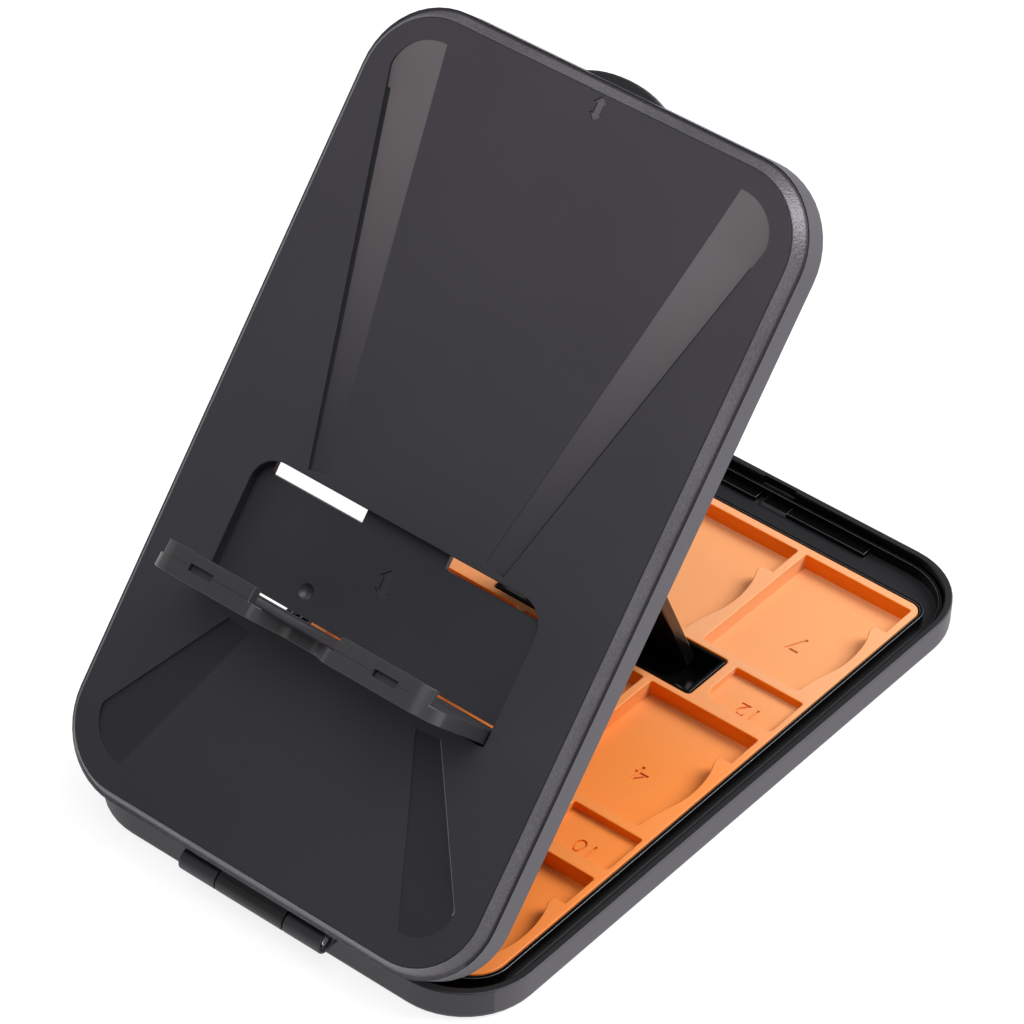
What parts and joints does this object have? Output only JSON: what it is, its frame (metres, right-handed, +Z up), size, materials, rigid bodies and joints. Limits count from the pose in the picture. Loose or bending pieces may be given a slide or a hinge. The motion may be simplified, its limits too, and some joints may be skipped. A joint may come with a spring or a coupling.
{
  "type": "game card holder",
  "caption": "Hinged pocket case for small game cards, with a moulded card tray, a prop strut and a fold-out ledge that turn its lid into a stand.",
  "frame": {"origin": "centre of the base's flat underside", "axes": "+Z up, away from the underside; -Y towards the hinge and +Y towards the latch side; X along the hinge line"},
  "size_m": [0.092, 0.1535, 0.1282],
  "materials": {
    "shell_grey": "fine matte moulded",
    "liner_black": "glossy",
    "tray_orange": "soft matte",
    "satin_black": "satin",
    "pin_steel": "drawn"
  },
  "bodies": {
    "base": {"base_shell": "shell_grey", "base_inner_frame": "liner_black", "card_tray": "tray_orange", "hinge_pin": "pin_steel"},
    "lid": {"lid_shell": "shell_grey", "lid_inner_panel": "satin_black"},
    "strut": {"prop_strut": "satin_black"},
    "flap": {"ledge_flap": "satin_black"}
  },
  "joints": [
    {"name": "lid_hinge", "type": "hinge", "parent": "base", "child": "lid", "pos_m": [0, -0.0764, 0.0067], "axis": [1, 0, 0], "range_deg": [0, 98.1]},
    {"name": "strut_fold", "type": "hinge", "parent": "lid", "child": "strut", "pos_m": [0, -0.0159, 0.08532], "axis": [1, 0, 0], "range_deg": [-64, 0]},
    {"name": "flap_hinge", "type": "hinge", "parent": "lid", "child": "flap", "pos_m": [0, -0.05231, 0.04633], "axis": [1, 0, 0], "range_deg": [-83.2, 0]}
  ],
  "couplings": [
    {"joint": "strut_fold", "follows": "lid_hinge", "ratio": -0.6523}
  ]
}
